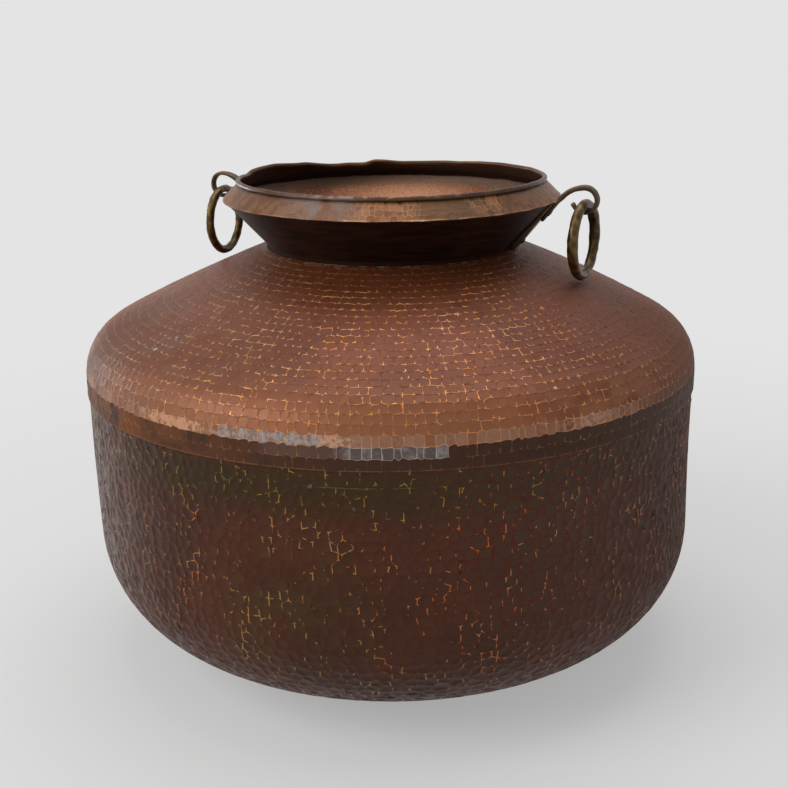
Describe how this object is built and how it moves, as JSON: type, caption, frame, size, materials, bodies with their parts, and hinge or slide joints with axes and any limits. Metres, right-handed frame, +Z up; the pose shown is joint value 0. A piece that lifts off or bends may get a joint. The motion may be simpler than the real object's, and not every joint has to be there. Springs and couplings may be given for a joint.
{
  "type": "hammered copper water pot",
  "caption": "Large round-bodied hammered copper pot with sloping shoulder, flared neck, inward rim band and hanging carrying rings on riveted hooks.",
  "frame": {"origin": "on the floor under the pot's axis, in the middle of its flattened foot", "axes": "+Z up along the pot's axis; +X towards the right hook; +Y away from the front"},
  "size_m": [0.6, 0.6, 0.4718],
  "materials": {
    "aged_copper": "hammered copper with a reddish-brown patina",
    "dark_copper": "smoke-dark copper",
    "worn_copper": "hammered copper, worn bright on its edges",
    "wire": "plain wire",
    "solder": "dull brazing metal",
    "hook_bronze": "forged, dark olive brown",
    "rivet_copper": "peened copper",
    "ring_brass": "forged rod, olive bronze with rubbed highlights"
  },
  "bodies": {
    "pot": {"bowl": "aged_copper", "shoulder": "aged_copper", "shoulder_seam_braze": "solder", "neck_collar": "dark_copper", "neck_seam_braze": "solder", "rim_band": "worn_copper", "lip_wire": "wire", "ridge_seam_braze": "solder", "right_strap": "hook_bronze", "right_hook": "hook_bronze", "right_lower_rivet": "rivet_copper", "right_upper_rivet": "rivet_copper", "right_lower_washer": "rivet_copper", "right_upper_washer": "rivet_copper", "left_strap": "hook_bronze", "left_hook": "hook_bronze", "left_lower_rivet": "rivet_copper", "left_upper_rivet": "rivet_copper", "left_lower_washer": "rivet_copper", "left_upper_washer": "rivet_copper"},
    "right_ring": {"right_ring": "ring_brass"},
    "left_ring": {"left_ring": "ring_brass"}
  },
  "joints": [
    {"name": "right_ring_swing", "type": "hinge", "parent": "pot", "child": "right_ring", "pos_m": [0.19127, 0, 0.44983], "axis": [-0.1011, -0.9949, 0], "range_deg": [-5, 235]},
    {"name": "left_ring_swing", "type": "hinge", "parent": "pot", "child": "left_ring", "pos_m": [-0.1908, 0.01334, 0.44903], "axis": [0.0157, 0.9999, 0], "range_deg": [-16, 236]}
  ]
}
